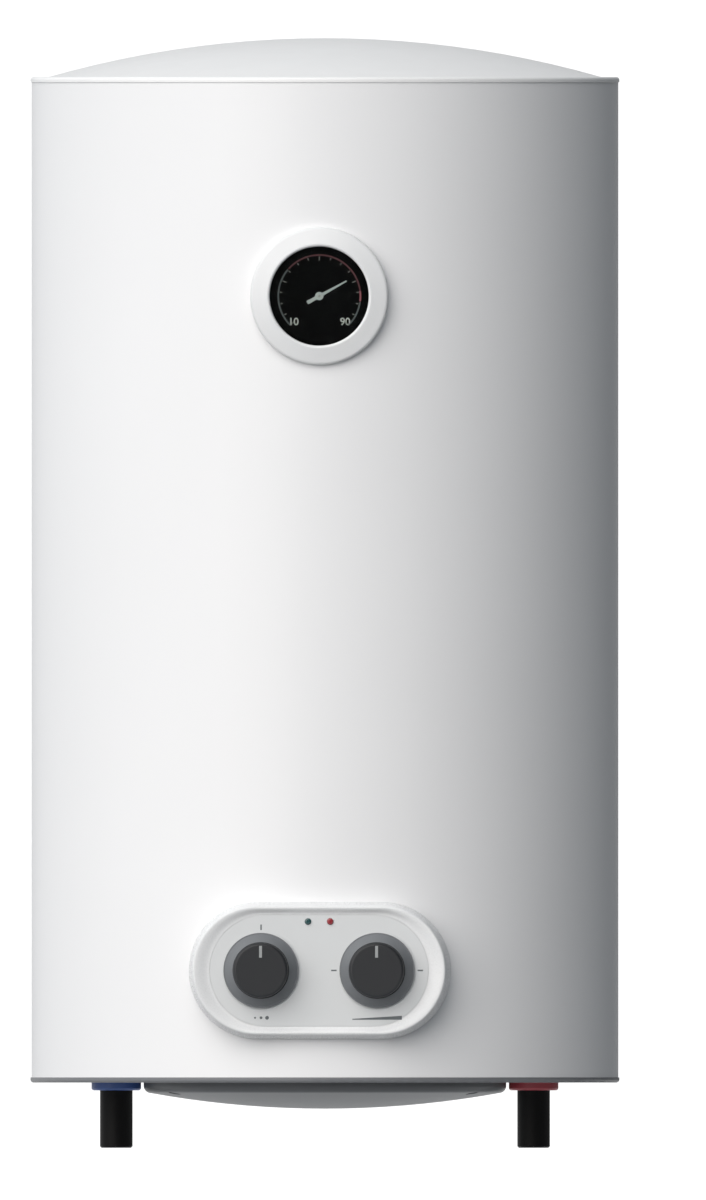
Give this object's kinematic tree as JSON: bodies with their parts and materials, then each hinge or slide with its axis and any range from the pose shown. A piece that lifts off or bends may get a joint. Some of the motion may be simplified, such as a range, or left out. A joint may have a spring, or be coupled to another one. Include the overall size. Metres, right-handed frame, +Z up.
{
  "type": "electric water heater",
  "caption": "Upright white wall-hung storage water heater with domed caps, a dial thermometer, a control panel with knobs and lamps, and water connections underneath.",
  "frame": {"origin": "middle of the two hook slots of the upper bracket, on the plane of the wall", "axes": "+Z up along the tank, +Y into the wall, so the front faces -Y and the cold side is at -X"},
  "size_m": [0.4516, 0.5029, 0.8508],
  "materials": {
    "white_enamel": "gloss stoved enamel on sheet steel",
    "white_abs": "moulded, gloss",
    "base_abs": "moulded, satin",
    "cover_abs": "moulded, gloss",
    "fascia_abs": "moulded, fine texture",
    "knob_abs": "moulded, satin",
    "mark_white": "moulded, satin",
    "black_nylon": "moulded, satin",
    "cold_blue": "moulded",
    "hot_red": "moulded",
    "lens_green": "clear tinted lens",
    "lens_red": "clear tinted lens",
    "dial_glass": "clear",
    "dial_black": "satin paint",
    "pointer_white": "satin paint",
    "galvanised_steel": "zinc coated",
    "zinc_fasteners": "zinc plated",
    "plated_steel": "nickel plated",
    "tank_enamel": "vitreous enamel",
    "stainless_steel": "pickled",
    "element_alloy": "drawn",
    "magnesium": "cast",
    "seal_rubber": "moulded",
    "foam": "foamed in place",
    "brass": "drawn",
    "ivory_plastic": "moulded",
    "button_red": "moulded",
    "wire_pvc": "extruded"
  },
  "bodies": {
    "heater": {"outer_casing": "white_enamel", "top_cap": "white_abs", "panel_rim": "white_abs", "thermometer_bezel": "white_abs", "bottom_cap": "base_abs", "service_cover": "cover_abs", "panel_fascia": "fascia_abs", "cold_sleeve": "black_nylon", "hot_sleeve": "black_nylon", "cable_gland": "black_nylon", "gland_nut": "black_nylon", "power_switch": "black_nylon", "thermometer_case": "black_nylon", "cold_collar": "cold_blue", "hot_collar": "hot_red", "power_lamp": "lens_green", "heating_lamp": "lens_red", "thermometer_glass": "dial_glass", "thermometer_dial": "dial_black", "upper_bracket": "galvanised_steel", "lower_bracket": "galvanised_steel", "backing_plates": "galvanised_steel", "panel_chassis": "galvanised_steel", "cover_screws": "zinc_fasteners", "bracket_bolts": "zinc_fasteners", "flange_bolts": "zinc_fasteners", "chassis_screws": "zinc_fasteners", "anode_nut": "zinc_fasteners", "tank_shell": "tank_enamel", "tank_top_dish": "tank_enamel", "tank_bottom_dish": "tank_enamel", "flange_neck": "tank_enamel", "flange_plate": "stainless_steel", "sensor_pockets": "stainless_steel", "hot_standpipe": "stainless_steel", "cold_nipple": "stainless_steel", "hot_nipple": "stainless_steel", "main_element": "element_alloy", "boost_element": "element_alloy", "anode_rod": "magnesium", "flange_gasket": "seal_rubber", "sleeve_washers": "seal_rubber", "insulation_foam": "foam", "thermometer_stem": "brass", "bimetal_coil": "brass", "thermostat_capillary": "brass", "terminal_block": "ivory_plastic", "inlet_diffuser": "ivory_plastic", "safety_cutout": "ivory_plastic", "thermostat": "ivory_plastic", "wiring_loom": "wire_pvc"},
    "selector": {"selector_knob": "knob_abs", "selector_shaft": "plated_steel", "selector_mark": "mark_white"},
    "temperature_control": {"thermostat_knob": "knob_abs", "thermostat_shaft": "plated_steel", "thermostat_mark": "mark_white"},
    "thermometer_hand": {"thermometer_pointer": "pointer_white", "pointer_arbor": "plated_steel"},
    "reset": {"reset_button": "button_red"}
  },
  "joints": [
    {"name": "selector_turn", "type": "hinge", "parent": "heater", "child": "selector", "pos_m": [-0.0445, -0.49, -0.558], "axis": [0, 1, 0], "range_deg": [0, 90]},
    {"name": "temperature_turn", "type": "hinge", "parent": "heater", "child": "temperature_control", "pos_m": [0.0445, -0.49, -0.558], "axis": [0, 1, 0], "range_deg": [-135, 135]},
    {"name": "thermometer_turn", "type": "hinge", "parent": "heater", "child": "thermometer_hand", "pos_m": [0, -0.475, -0.041], "axis": [0, 1, 0], "range_deg": [-196, 74], "stiffness_Nm_per_rad": 0.001},
    {"name": "reset_press", "type": "slide", "parent": "heater", "child": "reset", "axis": [0, 0, 1], "range_m": [0, 0.002], "stiffness_N_per_m": 800}
  ]
}
